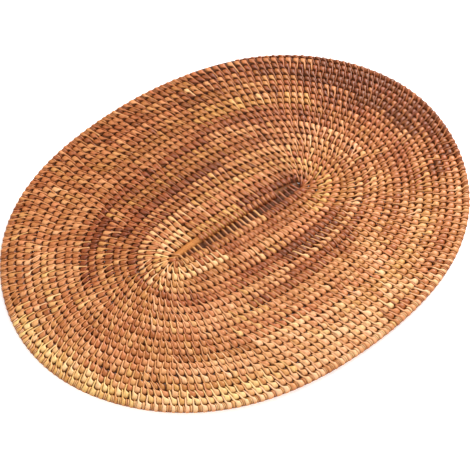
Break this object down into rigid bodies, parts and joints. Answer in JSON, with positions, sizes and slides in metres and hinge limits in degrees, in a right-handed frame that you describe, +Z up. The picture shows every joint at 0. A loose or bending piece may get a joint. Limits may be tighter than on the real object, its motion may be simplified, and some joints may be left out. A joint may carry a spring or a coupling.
{
  "type": "rattan placemat",
  "caption": "Oval placemat of honey-coloured rattan, one long cane wound round a straight seam and bound with thin strips.",
  "frame": {"origin": "middle of the mat's underside, on the surface that it lies on", "axes": "+X along the mat's length and its straight seam, +Y across its width, +Z up, away from the surface"},
  "size_m": [0.4, 0.3, 0.0062],
  "materials": {
    "cane": "oiled satin rattan"
  },
  "bodies": {
    "root": {"rattan_mat": "cane"}
  },
  "joints": []
}
